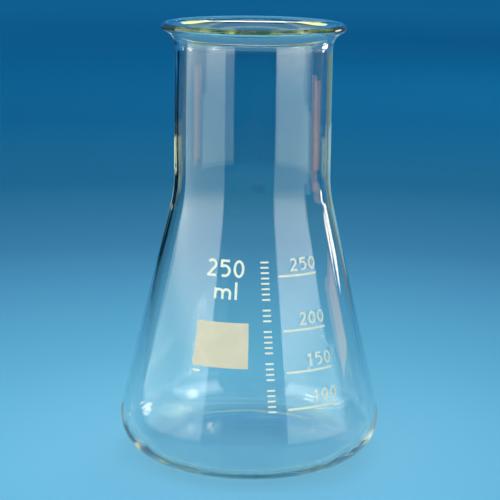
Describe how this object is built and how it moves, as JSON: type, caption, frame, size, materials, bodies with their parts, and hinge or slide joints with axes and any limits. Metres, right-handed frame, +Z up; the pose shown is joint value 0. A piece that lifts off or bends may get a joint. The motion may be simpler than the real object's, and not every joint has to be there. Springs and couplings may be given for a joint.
{
  "type": "conical laboratory flask",
  "caption": "Wide-neck conical glass flask with beaded rim, tapered body, pushed-up base and fired-on enamel volume scale, for mixing, heating and stoppering liquids.",
  "frame": {"origin": "middle of the base, on the plane that the flask stands on", "axes": "+Z up along the neck's axis; the enamel marks face -Y"},
  "size_m": [0.085, 0.085, 0.14],
  "materials": {
    "clear_glass": "clear colourless borosilicate glass, fire-polished, faint blown-in waviness",
    "cream_enamel": "fired ceramic enamel, cream white, satin"
  },
  "bodies": {
    "root": {"glass_flask": "clear_glass", "capacity_number_print": "cream_enamel", "capacity_unit_print": "cream_enamel", "marking_field_print": "cream_enamel", "field_tick_print": "cream_enamel", "side_dashes_print": "cream_enamel", "graduation_line_100": "cream_enamel", "graduation_number_100": "cream_enamel", "graduation_line_150": "cream_enamel", "graduation_number_150": "cream_enamel", "graduation_line_200": "cream_enamel", "graduation_number_200": "cream_enamel", "graduation_line_250": "cream_enamel", "graduation_number_250": "cream_enamel"}
  },
  "joints": []
}
